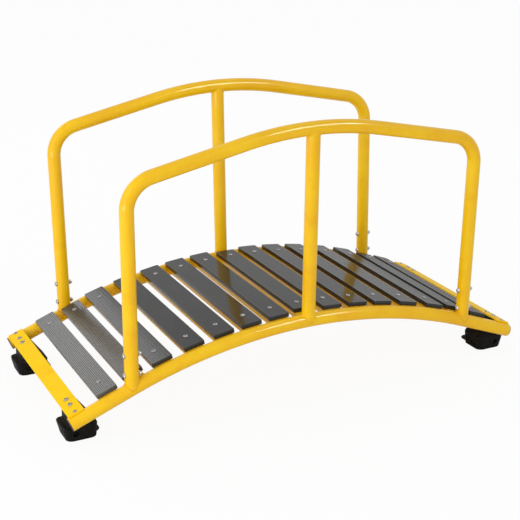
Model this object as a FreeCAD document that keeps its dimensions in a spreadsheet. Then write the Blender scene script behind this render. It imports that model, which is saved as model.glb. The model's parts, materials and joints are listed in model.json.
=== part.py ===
import FreeCAD, Part
import os
import re
import Sketcher
from math import degrees, radians

# Climbing arch for children: two bent side rails carry fifteen ribbed treads and two handrail hoops.
# Millimetres and degrees. X runs along the arch, Y from front to rear, Z up from the floor at the middle.

SIZES = {
    # Tubes and rails
    "tube_od": 38,  # outside diameter of rails, handrails and posts
    "tube_wall": 2,  # wall of those tubes
    "rail_spacing": 572,  # between the centrelines of the two rails
    "deck_radius": 1457,  # bend of the rail centreline
    "deck_half_angle": 21,  # slope of the rails beyond the bend
    "rail_straight": 180,  # straight length of a rail beyond the bend
    "root_gap": 0.2,  # gap left round a coped tube end
    "cap_flange": 2.5,  # thickness of a rail cap outside the tube
    "cap_depth": 18,  # depth of a rail cap inside the tube
    "cap_fit": 0.25,  # radial gap of a rail cap in the tube
    "cap_edge": 1.2,  # rounding of the cap flange
    # Treads and their bars
    "deck_seat": 18,  # height of the slat undersides above the rail centreline
    "slat_length": 554,  # length of a slat that no post stands beside
    "slat_width": 60,  # width of a slat
    "slat_thickness": 12,  # thickness of a slat
    "slat_corner": 3,  # plan rounding of the slat corners
    "slat_edge": 2,  # rounding of the slat top edges
    "slat_pitch": 82,  # pitch of the slats in the middle and beyond the posts
    "shoulder_pitch": 88,  # pitch of the slats three and four from the middle
    "post_pitch": 94,  # pitch of the slats four and five from the middle
    "post_gap": 5,  # gap between a shortened slat and the post beside it
    "groove_count": 5,  # grooves along a slat, which leave one rib more
    "groove_pitch": 9.5,  # pitch of those grooves
    "groove_width": 2.6,  # width of a groove
    "groove_depth": 1.2,  # depth of a groove
    "crossbar_width": 50,  # width of the rectangular tube under a slat
    "crossbar_height": 20,  # height of that tube
    "crossbar_wall": 1.5,  # wall of that tube
    "crossbar_corner": 3,  # outer corner radius of that tube
    "slat_bolt_inset": 68,  # from the rail centreline to a slat bolt
    "slat_bolt_shank": 6,  # shank diameter of a slat bolt
    "slat_bolt_head": 13,  # head diameter of a slat bolt
    "slat_bolt_dome": 3,  # height of the domed head of a slat bolt
    "slat_nut_flats": 10,  # width across flats of the nut of a slat bolt
    "slat_nut_height": 5,  # height of that nut
    "hole_clearance": 0.25,  # radial gap of a bolt in its hole
    "nut_clearance": 0.05,  # radial gap of a shank in its nut
    # End plates and feet
    "plate_inset": 26,  # from a rail end to the middle of an end plate, along the rail
    "plate_height": 91.3,  # height of the underside of an end plate above the floor, at its middle
    "plate_width": 46,  # width of an end plate
    "plate_thickness": 5,  # thickness of an end plate
    "plate_overlap": 3,  # how far an end plate reaches past the rail centreline
    "plate_screw_inset": 6,  # from the rail centreline to the screw that holds the plate to the rail
    "plate_screw_shank": 5,  # shank diameter of a plate screw
    "plate_screw_head": 11,  # head diameter of a plate screw
    "plate_screw_dome": 3,  # height of the domed head of a plate screw
    "plate_screw_length": 13,  # length of a plate screw below its head
    "foot_inset": 64,  # from the rail centreline to the middle of the bolts of a foot
    "foot_neck_length": 36,  # length of the top of a foot, along the rail
    "foot_neck_width": 66,  # width of the top of a foot, across the arch
    "foot_neck_corner": 10,  # corner radius of the top of a foot
    "foot_block_length": 96,  # length of the block of a foot
    "foot_block_width": 86,  # width of the block of a foot, across the arch
    "foot_block_height": 39,  # height of the block of a foot above the floor
    "foot_block_corner": 18,  # corner radius of the block of a foot
    "foot_end_draft": 9,  # how far the outer end of the block is drawn in at the floor
    "foot_side_draft": 3,  # how far its other sides are drawn in at the floor
    "foot_ledge": 17,  # flat top of the block at its outer end
    "foot_toe": 18,  # shift of the block towards the middle of the arch
    "foot_rail_gap": 2,  # gap between the block of a foot and the rail, across the arch
    "foot_lip": 7,  # how far the lip stands out from the block
    "foot_lip_height": 14,  # height of the underside of the lip
    "foot_lip_thickness": 4,  # thickness of the lip
    "foot_arch_height": 9,  # height of the middle of the arched groove in the outer end of a foot
    "foot_arch_radius": 32,  # middle radius of that groove
    "foot_arch_width": 5,  # width of that groove
    "foot_arch_depth": 3,  # depth of that groove
    "foot_core_bore": 16,  # diameter of the cored hole in the rail side of a foot
    "foot_core_depth": 12,  # depth of that hole
    "foot_core_height": 20,  # height of that hole above the floor
    "foot_core_shift": 4,  # shift of that hole towards the middle of the arch
    "foot_bolt_spacing": 32,  # between the two bolts of a foot, across the arch
    "foot_bolt_shank": 8,  # shank diameter of a foot bolt
    "foot_bolt_head": 15,  # head diameter of a foot bolt
    "foot_bolt_dome": 4.5,  # height of the domed head of a foot bolt
    "foot_bolt_grip": 50,  # depth of rubber that a foot bolt clamps
    "foot_washer_diameter": 17,  # diameter of the washer in a foot
    "foot_washer_thickness": 1.6,  # thickness of that washer
    "foot_nut_flats": 13,  # width across flats of the nut in a foot
    "foot_nut_height": 6.5,  # height of that nut
    "foot_nut_bore": 19,  # diameter of the bore that the washer and nut sit in
    # Handrails, posts and spigots
    "post_reach": 520,  # from the middle of the arch to an outer post
    "hoop_splay": 1.4,  # outward lean of a hoop
    "handrail_rise": 545.5,  # between the centrelines of a rail and its handrail at the middle
    "handrail_radius": 970,  # bend of the handrail over the middle
    "handrail_half_angle": 11.9,  # slope of the handrail beyond that bend
    "corner_radius": 85,  # bend between a handrail and its outer post
    "spigot_fit": 0.25,  # radial gap between a spigot and its post
    "spigot_wall": 3,  # wall of a spigot
    "spigot_tall": 122,  # height of an outer spigot above the rail centreline
    "spigot_short": 62,  # height of a middle spigot above the rail centreline
    "post_bolt_low": 41,  # height of the lower post bolt above the rail centreline
    "post_bolt_high": 97,  # height of the upper post bolt above the rail centreline
    "post_bolt_shank": 8,  # shank diameter of a post bolt
    "post_bolt_head": 15,  # head diameter of a post bolt
    "post_bolt_dome": 5,  # height of the domed head of a post bolt
    "post_nut_flats": 13,  # width across flats of a cap nut
    "post_nut_height": 5,  # height of the hexagon of a cap nut
    "post_nut_dome": 5.5,  # radius of the dome of a cap nut
    "dome_rim": 1,  # straight rim under a domed bolt head
    "bolt_end": 2,  # length of a bolt past its nut
    "cutting_overrun": 10,  # how far a cut runs past the piece
}

doc = FreeCAD.newDocument("climbing_arch")
sheet = doc.addObject("Spreadsheet::Sheet", "Sizes")
for row, (alias, value) in enumerate(SIZES.items(), 1):
    sheet.set("A%d" % row, alias)
    sheet.set("B%d" % row, str(value))
    sheet.setAlias("B%d" % row, alias)
doc.recompute()

ARC_RUN = "(deck_radius * deck_half_angle * pi / 180)"
BEND_REACH = "(deck_radius * sin(deck_half_angle))"
BEND_DROP = "(deck_radius * (1 - cos(deck_half_angle)))"
RAIL_END = "(%s + rail_straight)" % ARC_RUN
PLATE_RUN = "(%s - plate_inset)" % RAIL_END
PLATE_SEAT = "(tube_od / 2 + root_gap)"
PLATE_DROP = "(%s + (rail_straight - plate_inset) * sin(deck_half_angle))" % BEND_DROP
RAIL_CROWN = "(plate_height - %s * cos(deck_half_angle) + %s)" % (PLATE_SEAT, PLATE_DROP)
POST_DROP_ON_BEND = "(deck_radius - sqrt(deck_radius ^ 2 - min(post_reach; %s) ^ 2))" % BEND_REACH
POST_DROP = "(%s + max(post_reach - %s; 0) * tan(deck_half_angle))" % (POST_DROP_ON_BEND, BEND_REACH)
POST_FOOT = "(%s - %s)" % (RAIL_CROWN, POST_DROP)
HANDRAIL_RISE = "((%s + handrail_rise) / cos(hoop_splay))" % POST_DROP
CROWN_RISE = "(%s / cos(hoop_splay))" % POST_DROP
SPIGOT_OD = "(tube_od - 2 * tube_wall - 2 * spigot_fit)"
SIDES = {"front": -1, "rear": 1}
ENDS = {"left": -1, "right": 1}
# Numbers by which a sketch knows its own axes, and the points of a line or an arc
X_AXIS, Y_AXIS = range(-1, -3, -1)
START, END, CENTRE = range(1, 4)
ORIGIN = (X_AXIS, START)


def formula(text):
    """Expression text in which every name with an underscore is a cell of the sheet."""
    return re.sub(r"\b[a-z]+(?:_[a-z]+)+\b", lambda name: "Sizes." + name.group(0), text)


def number(text):
    return float(sheet.evalExpression(formula(text)))


def bind(piece, **expressions):
    for name, text in expressions.items():
        piece.setExpression(name, formula(text))
    return piece


def placed(x="0", y="0", z="0", axis="0; 1; 0", angle="0"):
    """Expression for a placement: a point, and a turn about an axis through it."""
    return "placement(vector(%s; %s; %s); rotation(vector(%s); %s))" % (x, y, z, axis, angle)


def deck_point(run):
    """Slope, reach and height of the rail centreline at a distance along it from the middle."""
    angle = "(min((%s) / %s; 1) * deck_half_angle)" % (run, ARC_RUN)
    past = "max((%s) - %s; 0)" % (run, ARC_RUN)
    reach = "(deck_radius * sin(%s) + %s * cos(%s))" % (angle, past, angle)
    height = "(%s - deck_radius * (1 - cos(%s)) - %s * sin(%s))" % (RAIL_CROWN, angle, past, angle)
    return angle, reach, height


def on_deck(run, sign=1, y="0"):
    """Placement of a piece that rides on the rails, square to them."""
    angle, reach, height = deck_point(run)
    return placed("%d * %s" % (sign, reach), y, height, angle="%d * %s" % (sign, angle))


def shifted(placements, z):
    """The placements, each moved along its own upright."""
    return ["%s * %s" % (placement, placed(z=z)) for placement in placements]


def in_hoop(side, x="0", z="0"):
    """Placement of a piece in the leaning plane of a hoop, at a height above the post foot."""
    sign = SIDES[side]
    y = "%d * (rail_spacing / 2 + (%s) * sin(hoop_splay))" % (sign, z)
    height = "%s + (%s) * cos(hoop_splay)" % (POST_FOOT, z)
    return placed(x, y, height, axis="1; 0; 0", angle="%d * hoop_splay" % -sign)


def new_body(label, placement=None):
    piece = doc.addObject("PartDesign::Body", label)
    piece.Label = label
    if placement:
        bind(piece, Placement=placement)
    return piece


def origin_plane(piece, role):
    return next(item for item in piece.Origin.OriginFeatures if item.Role == role)


def new_sketch(piece, name, role, offset=None):
    sketch = piece.newObject("Sketcher::SketchObject", piece.Name + "_" + name)
    sketch.AttachmentSupport = [(origin_plane(piece, role), "")]
    sketch.MapMode = "FlatFace"
    if offset:
        bind(sketch, AttachmentOffset=offset)
    return sketch


def point(x, y):
    return FreeCAD.Vector(number(x), number(y), 0)


def dimension(sketch, kind, *items):
    """A constraint whose value is the last item, an expression."""
    index = sketch.addConstraint(Sketcher.Constraint(kind, *items[:-1], number(items[-1])))
    sketch.setExpression("Constraints[%d]" % index, formula(items[-1]))


def fix_point(sketch, geometry, which, x, y):
    """Holds a point of a sketch at x and y from the sketch's origin."""
    for text, kind, axis in ((x, "DistanceX", Y_AXIS), (y, "DistanceY", X_AXIS)):
        if text == "0":
            sketch.addConstraint(Sketcher.Constraint("PointOnObject", geometry, which, axis))
        else:
            dimension(sketch, kind, *ORIGIN, geometry, which, text)


def add_line(sketch, start, end):
    return sketch.addGeometry(Part.LineSegment(start, end), False)


def add_arc(sketch, centre, radius, start, end):
    """Arc from one angle to another, in degrees, anticlockwise about its centre."""
    circle = Part.Circle(centre, FreeCAD.Vector(0, 0, 1), radius)
    return sketch.addGeometry(Part.ArcOfCircle(circle, radians(start), radians(end)), False)


def meet(sketch, first, first_point, second, second_point, kind="Coincident"):
    sketch.addConstraint(Sketcher.Constraint(kind, first, first_point, second, second_point))


def add_circle(sketch, x, y, diameter):
    circle = Part.Circle(point(x, y), FreeCAD.Vector(0, 0, 1), number(diameter) / 2)
    index = sketch.addGeometry(circle, False)
    fix_point(sketch, index, CENTRE, x, y)
    dimension(sketch, "Diameter", index, diameter)


def add_outline(sketch, points):
    """Closed outline of straight lines through points that are pairs of expressions."""
    count = len(points)
    places = [point(*pair) for pair in points]
    lines = [add_line(sketch, places[k], places[(k + 1) % count]) for k in range(count)]
    for k in range(count):
        meet(sketch, lines[k], END, lines[(k + 1) % count], START)
        fix_point(sketch, lines[k], START, *points[k])


def add_rounded(sketch, left, right, bottom, top, radius):
    """Rectangle with four equal rounded corners, drawn anticlockwise from the bottom side."""
    x0, x1, y0, y1 = number(left), number(right), number(bottom), number(top)
    r = number(radius)
    corners = ((x1 - r, y0 + r, -90), (x1 - r, y1 - r, 0), (x0 + r, y1 - r, 90), (x0 + r, y0 + r, 180))
    sides = (((x0 + r, y0), (x1 - r, y0)), ((x1, y0 + r), (x1, y1 - r)),
             ((x1 - r, y1), (x0 + r, y1)), ((x0, y1 - r), (x0, y0 + r)))
    lines, arcs = [], []
    for (start, end), (x, y, angle) in zip(sides, corners):
        lines.append(add_line(sketch, FreeCAD.Vector(*start, 0), FreeCAD.Vector(*end, 0)))
        arcs.append(add_arc(sketch, FreeCAD.Vector(x, y, 0), r, angle, angle + 90))
    for k in range(4):
        meet(sketch, lines[k], END, arcs[k], START, "Tangent")
        meet(sketch, arcs[k], END, lines[(k + 1) % 4], START, "Tangent")
        sketch.addConstraint(Sketcher.Constraint("Vertical" if k % 2 else "Horizontal", lines[k]))
    for k in range(1, 4):
        sketch.addConstraint(Sketcher.Constraint("Equal", arcs[0], arcs[k]))
    dimension(sketch, "Radius", arcs[0], radius)
    dimension(sketch, "DistanceY", *ORIGIN, lines[0], START, bottom)
    dimension(sketch, "DistanceX", *ORIGIN, lines[1], START, right)
    dimension(sketch, "DistanceY", *ORIGIN, lines[2], START, top)
    dimension(sketch, "DistanceX", *ORIGIN, lines[3], START, left)


def add_half_ring(sketch, x, y, radius, width):
    """Upper half of a ring about x, y."""
    arcs = []
    for step in (-1, 1):
        radius_here = "%s + %d * %s / 2" % (radius, step, width)
        arcs.append(add_arc(sketch, point(x, y), number(radius_here), 0, 180))
        fix_point(sketch, arcs[-1], CENTRE, x, y)
        dimension(sketch, "Radius", arcs[-1], radius_here)
    inner, outer = (sketch.Geometry[index] for index in arcs)
    ends = ((START, inner.StartPoint, outer.StartPoint), (END, inner.EndPoint, outer.EndPoint))
    for which, start, end in ends:
        line = add_line(sketch, start, end)
        meet(sketch, line, START, arcs[0], which)
        meet(sketch, line, END, arcs[1], which)
        sketch.addConstraint(Sketcher.Constraint("Horizontal", line))
        dimension(sketch, "DistanceY", *ORIGIN, line, START, y)


def pad(piece, sketch, length, symmetric=False, backwards=False):
    feature = piece.newObject("PartDesign::Pad", sketch.Name + "_pad")
    feature.Profile = sketch
    feature.SideType = "Symmetric" if symmetric else "One side"
    feature.Reversed = backwards
    return bind(feature, Length=length)


def pocket(piece, sketch, length, symmetric=False, backwards=False):
    feature = piece.newObject("PartDesign::Pocket", sketch.Name + "_pocket")
    feature.Profile = sketch
    feature.SideType = "Symmetric" if symmetric else "One side"
    feature.Reversed = backwards
    return bind(feature, Length=length)


def mirror_across(piece, features, role):
    mirrored = piece.newObject("PartDesign::Mirrored", piece.Name + "_mirrored")
    mirrored.Originals = features
    mirrored.MirrorPlane = (origin_plane(piece, role), [""])
    piece.Tip = mirrored
    return mirrored


def less(label, base, tools):
    """The base piece with the tools cut away."""
    for step, tool in enumerate(tools, 1):
        cut = doc.addObject("Part::Cut", "%s_cut_%d" % (label, step))
        cut.Base = base
        cut.Tool = tool
        base = cut
    base.Label = label
    return base


def gathered(label, pieces):
    group = doc.addObject("Part::Compound", label)
    group.Links = pieces
    group.Label = label
    return group


def copies(master, placements):
    """The same fastener at each of the placements."""
    links = []
    for count, placement in enumerate(placements, 1):
        link = doc.addObject("App::Link", "%s_%d" % (master.Name, count))
        link.LinkedObject = master
        link.LinkTransform = False
        links.append(bind(link, Placement=placement))
    return links


# Rails

def rail_tube(label, side, outer, bore=None):
    """A rail: bend, then a straight run at each end. Without a bore it is the space that it takes up."""
    piece = new_body(label, placed(y="%d * rail_spacing / 2" % SIDES[side], z=RAIL_CROWN))
    path = new_sketch(piece, "path", "XZ_Plane")
    radius, angle = number("deck_radius"), number("deck_half_angle")
    along = point("cos(deck_half_angle)", "-sin(deck_half_angle)")
    bend_end = point(BEND_REACH, "-" + BEND_DROP)
    bend = add_arc(path, FreeCAD.Vector(0, -radius, 0), radius, 90 - angle, 90)
    straight = add_line(path, bend_end, bend_end + along * number("rail_straight"))
    path.addConstraint(Sketcher.Constraint("PointOnObject", bend, CENTRE, Y_AXIS))
    meet(path, bend, END, *ORIGIN)
    meet(path, bend, START, straight, START, "Tangent")
    dimension(path, "Radius", bend, "deck_radius")
    dimension(path, "DistanceX", *ORIGIN, bend, START, BEND_REACH)
    dimension(path, "Distance", straight, "rail_straight")
    section = new_sketch(piece, "section", "YZ_Plane")
    add_circle(section, "0", "0", outer)
    if bore:
        add_circle(section, "0", "0", bore)
    doc.recompute()
    pipe = piece.newObject("PartDesign::AdditivePipe", label + "_pipe")
    pipe.Profile = (section, [""])
    pipe.Spine = (path, ["Edge1", "Edge2"])
    mirror_across(piece, [pipe], "YZ_Plane")
    return piece


def rail_cap(label, side, end):
    """Plug with a flange, pressed into a rail end."""
    sign = ENDS[end]
    piece = new_body(label, on_deck(RAIL_END, sign, "%d * rail_spacing / 2" % SIDES[side]))
    profile = new_sketch(piece, "profile", "XZ_Plane")
    plug = "(tube_od / 2 - tube_wall - cap_fit)"
    add_outline(profile, [("%d * -cap_depth" % sign, "0"), ("%d * -cap_depth" % sign, plug), ("0", plug),
                          ("0", "tube_od / 2"), ("%d * cap_flange" % sign, "tube_od / 2"),
                          ("%d * cap_flange" % sign, "0")])
    turned = piece.newObject("PartDesign::Revolution", label + "_turned")
    turned.Profile = profile
    turned.ReferenceAxis = (profile, ["H_Axis"])
    doc.recompute()
    rounded = piece.newObject("PartDesign::Fillet", label + "_rounded")
    outside = number("cap_flange") * sign
    rim = [n for n, edge in enumerate(turned.Shape.Edges, 1)
           if edge.Closed and abs(edge.BoundBox.Center.x - outside) < number("cap_edge") / 2]
    rounded.Base = (turned, ["Edge%d" % n for n in rim])
    bind(rounded, Radius="cap_edge")
    return piece


# Treads

def crossbar(label, placement, tools):
    """Rectangular tube between the rails, coped at both ends and drilled for the slat bolts."""
    piece = new_body(label + "_bar", placement)
    section = new_sketch(piece, "section", "XZ_Plane")
    add_rounded(section, "-crossbar_width / 2", "crossbar_width / 2",
                "deck_seat - crossbar_height", "deck_seat", "crossbar_corner")
    add_rounded(section, "crossbar_wall - crossbar_width / 2", "crossbar_width / 2 - crossbar_wall",
                "deck_seat - crossbar_height + crossbar_wall", "deck_seat - crossbar_wall",
                "crossbar_corner - crossbar_wall")
    pad(piece, section, "rail_spacing", symmetric=True)
    drill_for_slat_bolts(piece)
    return less(label, piece, tools)


def drill_for_slat_bolts(piece):
    holes = new_sketch(piece, "holes", "XY_Plane")
    for sign in SIDES.values():
        add_circle(holes, "0", "%d * (rail_spacing / 2 - slat_bolt_inset)" % sign,
                   "slat_bolt_shank + 2 * hole_clearance")
    pocket(piece, holes, "2 * (deck_seat + slat_thickness + cutting_overrun)", symmetric=True)


def slat(label, placement, length):
    """Tread with grooves along it, rounded corners and a bolt hole near each end."""
    piece = new_body(label, placement)
    section = new_sketch(piece, "section", "XZ_Plane")
    top = "(deck_seat + slat_thickness)"
    half = "slat_width / 2"
    add_outline(section, [("-" + half, "deck_seat"), (half, "deck_seat"), (half, top), ("-" + half, top)])
    board = pad(piece, section, length, symmetric=True)
    doc.recompute()
    upright = [n for n, edge in enumerate(board.Shape.Edges, 1)
               if edge.BoundBox.ZLength > edge.Length / 2]
    corners = piece.newObject("PartDesign::Fillet", label + "_corners")
    corners.Base = (board, ["Edge%d" % n for n in upright])
    bind(corners, Radius="slat_corner")
    doc.recompute()
    near_top = number(top) - number("slat_edge") / 2
    upper = [n for n, edge in enumerate(corners.Shape.Edges, 1) if edge.BoundBox.ZMin > near_top]
    edges = piece.newObject("PartDesign::Fillet", label + "_edges")
    edges.Base = (corners, ["Edge%d" % n for n in upper])
    bind(edges, Radius="slat_edge")
    groove = new_sketch(piece, "groove", "XZ_Plane")
    first = "-groove_pitch * (groove_count - 1) / 2"
    add_outline(groove, [("%s - groove_width / 2" % first, top + " - groove_depth"),
                         ("%s + groove_width / 2" % first, top + " - groove_depth"),
                         ("%s + groove_width / 2" % first, top + " + cutting_overrun"),
                         ("%s - groove_width / 2" % first, top + " + cutting_overrun")])
    channel = pocket(piece, groove, "(%s) + cutting_overrun" % length, symmetric=True)
    doc.recompute()
    grooves = piece.newObject("PartDesign::LinearPattern", label + "_grooves")
    grooves.Originals = [channel]
    grooves.Direction = (groove, ["H_Axis"])
    grooves.Mode = "Extent"
    bind(grooves, Length="groove_pitch * (groove_count - 1)")
    grooves.Occurrences = int(number("groove_count"))
    piece.Tip = grooves
    doc.recompute()
    drill_for_slat_bolts(piece)
    return piece


# End plates and feet

def end_plate(label, end, tools):
    """Flat bar on top of the rails near their ends, drilled for the foot bolts."""
    piece = new_body(label + "_bar", on_deck(PLATE_RUN, ENDS[end]))
    plan = new_sketch(piece, "plan", "XY_Plane", placed(z=PLATE_SEAT))
    half, reach = "plate_width / 2", "(rail_spacing / 2 + plate_overlap)"
    add_outline(plan, [("-" + half, "-" + reach), (half, "-" + reach), (half, reach), ("-" + half, reach)])
    pad(piece, plan, "plate_thickness")
    holes = new_sketch(piece, "holes", "XY_Plane", placed(z=PLATE_SEAT))
    for y in foot_bolt_places():
        add_circle(holes, "0", y, "foot_bolt_shank + 2 * hole_clearance")
    pocket(piece, holes, "2 * plate_thickness + cutting_overrun", symmetric=True)
    return less(label, piece, tools)


def foot_bolt_places():
    return ["%d * (rail_spacing / 2 - foot_inset) + %d * foot_bolt_spacing / 2" % (side, step)
            for side in SIDES.values() for step in (-1, 1)]


def front_right_foot(label):
    """Moulded foot: a block with a lip, drawn in to a top that lies under the sloping plate."""
    slope, reach, _ = deck_point(PLATE_RUN)
    middle = "%s + %s * sin(%s)" % (reach, PLATE_SEAT, slope)
    piece = new_body(label, placed(middle, "foot_inset - rail_spacing / 2"))
    rail_side = "(foot_inset - tube_od / 2 - foot_rail_gap)"
    far_side = "(foot_block_width - %s)" % rail_side
    outer_end = "(foot_block_length / 2 - foot_toe)"
    inner_end = "(%s - foot_block_length)" % outer_end
    under_plate = placed(z="plate_height", angle=slope)

    def section(name, place, left, right, bottom, top, corner="foot_block_corner"):
        sketch = new_sketch(piece, name, "XY_Plane", place)
        add_rounded(sketch, left, right, bottom, top, corner)
        return sketch

    def loft(name, lower, upper):
        feature = piece.newObject("PartDesign::AdditiveLoft", "%s_%s" % (label, name))
        feature.Profile = lower
        feature.Sections = [upper]
        feature.Ruled = True
        doc.recompute()

    sole = section("sole", placed(), inner_end + " + foot_side_draft", outer_end + " - foot_end_draft",
                   "foot_side_draft - " + rail_side, far_side + " - foot_side_draft")
    block_top = placed(z="foot_block_height")
    loft("block", sole, section("block_top", block_top, inner_end, outer_end, "-" + rail_side, far_side))
    lip = section("lip", placed(z="foot_lip_height"), inner_end + " - foot_lip", outer_end + " - foot_ledge",
                  "foot_lip - " + rail_side, far_side + " + foot_lip")
    pad(piece, lip, "foot_lip_thickness")
    neck = section("neck", under_plate, "-plate_width / 2", "foot_neck_length - plate_width / 2",
                   "-foot_neck_width / 2", "foot_neck_width / 2", "foot_neck_corner")
    shoulder = section("shoulder", block_top, inner_end, outer_end + " - foot_ledge", "-" + rail_side,
                       far_side)
    loft("shoulder", shoulder, neck)
    outer_face = placed(z=outer_end + " - foot_end_draft", axis="1; 0; 0",
                        angle="atan(foot_end_draft / foot_block_height)")
    arch = new_sketch(piece, "arch", "YZ_Plane", outer_face)
    add_half_ring(arch, "-" + rail_side, "foot_arch_height", "foot_arch_radius", "foot_arch_width")
    pocket(piece, arch, "foot_arch_depth")
    core = new_sketch(piece, "core", "XZ_Plane", placed(z=rail_side))
    add_circle(core, "-foot_core_shift", "foot_core_height", "foot_core_bore")
    pocket(piece, core, "foot_core_depth")
    holes = new_sketch(piece, "holes", "XY_Plane", under_plate)
    bores = new_sketch(piece, "bores", "XY_Plane", "%s * %s" % (under_plate, placed(z="-foot_bolt_grip")))
    for step in (-1, 1):
        y = "%d * foot_bolt_spacing / 2" % step
        add_circle(holes, "0", y, "foot_bolt_shank + 2 * hole_clearance")
        add_circle(bores, "0", y, "foot_nut_bore")
    pocket(piece, holes, "2 * plate_height", symmetric=True)
    pocket(piece, bores, "plate_height")
    return piece


def reflected(label, source, normal):
    """Mirror image of a piece across a middle plane of the arch."""
    image = doc.addObject("Part::Mirroring", label)
    image.Source = source
    image.Normal = FreeCAD.Vector(*normal)
    image.Label = label
    return image


# Hoops, posts and spigots

def hoop_tube(label, side, outer, bore=None):
    """Handrail and its two outer posts in one bent tube. Without a bore it is the space they take up."""
    piece = new_body(label, in_hoop(side))
    path = new_sketch(piece, "path", "XZ_Plane")
    rise, reach = number(HANDRAIL_RISE), number("post_reach")
    radius, corner = number("handrail_radius"), number("corner_radius")
    slope = number("handrail_half_angle")
    along = point("cos(handrail_half_angle)", "-sin(handrail_half_angle)")
    crown = add_arc(path, FreeCAD.Vector(0, rise - radius, 0), radius, 90 - slope, 90)
    shoulder = path.Geometry[crown].StartPoint
    meeting = shoulder + along * ((reach - shoulder.x) / along.x)
    set_back = corner * number("tan((90 - handrail_half_angle) / 2)")
    bend_end = FreeCAD.Vector(reach, meeting.y - set_back, 0)
    slant = add_line(path, shoulder, meeting - along * set_back)
    bend = add_arc(path, FreeCAD.Vector(reach - corner, bend_end.y, 0), corner, 0, 90 - slope)
    post = add_line(path, bend_end, FreeCAD.Vector(reach, 0, 0))
    for end in (CENTRE, END):
        path.addConstraint(Sketcher.Constraint("PointOnObject", crown, end, Y_AXIS))
    dimension(path, "DistanceY", *ORIGIN, crown, END, HANDRAIL_RISE)
    dimension(path, "Radius", crown, "handrail_radius")
    dimension(path, "DistanceX", *ORIGIN, crown, START, "handrail_radius * sin(handrail_half_angle)")
    meet(path, crown, START, slant, START, "Tangent")
    meet(path, slant, END, bend, END, "Tangent")
    meet(path, bend, START, post, START, "Tangent")
    path.addConstraint(Sketcher.Constraint("Vertical", post))
    dimension(path, "Radius", bend, "corner_radius")
    dimension(path, "DistanceX", *ORIGIN, post, END, "post_reach")
    path.addConstraint(Sketcher.Constraint("PointOnObject", post, END, X_AXIS))
    section = new_sketch(piece, "section", "YZ_Plane")
    add_circle(section, "0", HANDRAIL_RISE, outer)
    if bore:
        add_circle(section, "0", HANDRAIL_RISE, bore)
    doc.recompute()
    pipe = piece.newObject("PartDesign::AdditivePipe", label + "_pipe")
    pipe.Profile = (section, [""])
    pipe.Spine = (path, ["Edge%d" % (n + 1) for n in range(len(path.Shape.Edges))])
    mirror_across(piece, [pipe], "YZ_Plane")
    return piece


def drill_for_post_bolts(piece, length):
    """Bolt holes along the arch, through a post or a spigot that stands on the piece's origin."""
    doc.recompute()
    holes = new_sketch(piece, "bolt_holes", "YZ_Plane")
    for height in ("post_bolt_low", "post_bolt_high"):
        add_circle(holes, "0", height, "post_bolt_shank + 2 * hole_clearance")
    pocket(piece, holes, length, symmetric=True)


def handrail(label, side, tools):
    piece = hoop_tube(label + "_tube", side, "tube_od", "tube_od - 2 * tube_wall")
    drill_for_post_bolts(piece, "2 * (post_reach + tube_od)")
    return less(label, piece, tools)


def upright_tube(label, placement, outer, bore, height):
    piece = new_body(label, placement)
    section = new_sketch(piece, "section", "XY_Plane")
    add_circle(section, "0", "0", outer)
    add_circle(section, "0", "0", bore)
    pad(piece, section, height)
    return piece


def middle_post(label, side, tools):
    """Straight post from the rail to the handrail, coped at both ends."""
    piece = upright_tube(label + "_tube", in_hoop(side, z=CROWN_RISE), "tube_od", "tube_od - 2 * tube_wall",
                         "%s - %s" % (HANDRAIL_RISE, CROWN_RISE))
    return less(label, piece, tools)


def outer_spigot(label, side, end, tools):
    """Stub welded on the rail inside an outer post, drilled for the two post bolts."""
    piece = upright_tube(label + "_tube", in_hoop(side, x="%d * post_reach" % ENDS[end]), SPIGOT_OD,
                         SPIGOT_OD + " - 2 * spigot_wall", "spigot_tall")
    drill_for_post_bolts(piece, "2 * tube_od")
    return less(label, piece, tools)


def middle_spigot(label, side, tools):
    piece = upright_tube(label + "_tube", in_hoop(side, z=CROWN_RISE), SPIGOT_OD,
                         SPIGOT_OD + " - 2 * spigot_wall", "spigot_short")
    return less(label, piece, tools)


# Fasteners

def domed_bolt(label, shank, head, dome, length):
    """Bolt that hangs down from its head, whose underside is at the origin."""
    piece = new_body(label)
    profile = new_sketch(piece, "profile", "XZ_Plane")
    tip = "-(%s)" % length
    corners = [("0", tip), (shank + " / 2", tip), (shank + " / 2", "0"), (head + " / 2", "0"),
               (head + " / 2", "dome_rim"), ("0", dome)]
    places = [point(*pair) for pair in corners]
    rim, top = places[4], places[5]
    centre = FreeCAD.Vector(0, (top.y ** 2 - rim.y ** 2 - rim.x ** 2) / (2 * (top.y - rim.y)), 0)
    start = 90 - degrees((rim - centre).getAngle(FreeCAD.Vector(0, 1, 0)))
    edges = [add_line(profile, places[k], places[k + 1]) for k in range(4)]
    edges.append(add_arc(profile, centre, top.y - centre.y, start, 90))
    edges.append(add_line(profile, top, places[0]))
    for k, pair in enumerate(corners):
        meet(profile, edges[k - 1], END, edges[k], START)
        fix_point(profile, edges[k], START, *pair)
    profile.addConstraint(Sketcher.Constraint("PointOnObject", edges[4], CENTRE, Y_AXIS))
    turned = piece.newObject("PartDesign::Revolution", label + "_turned")
    turned.Profile = profile
    turned.ReferenceAxis = (profile, ["V_Axis"])
    return piece


def hexagon(label, flats, height, z="0"):
    prism = doc.addObject("Part::Prism", label)
    prism.Polygon = 6
    return bind(prism, Circumradius="%s / (2 * cos(30))" % flats, Height=height, Placement=placed(z=z))


def cylinder(label, diameter, height, z="0"):
    piece = doc.addObject("Part::Cylinder", label)
    return bind(piece, Radius="(%s) / 2" % diameter, Height=height, Placement=placed(z=z))


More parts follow.
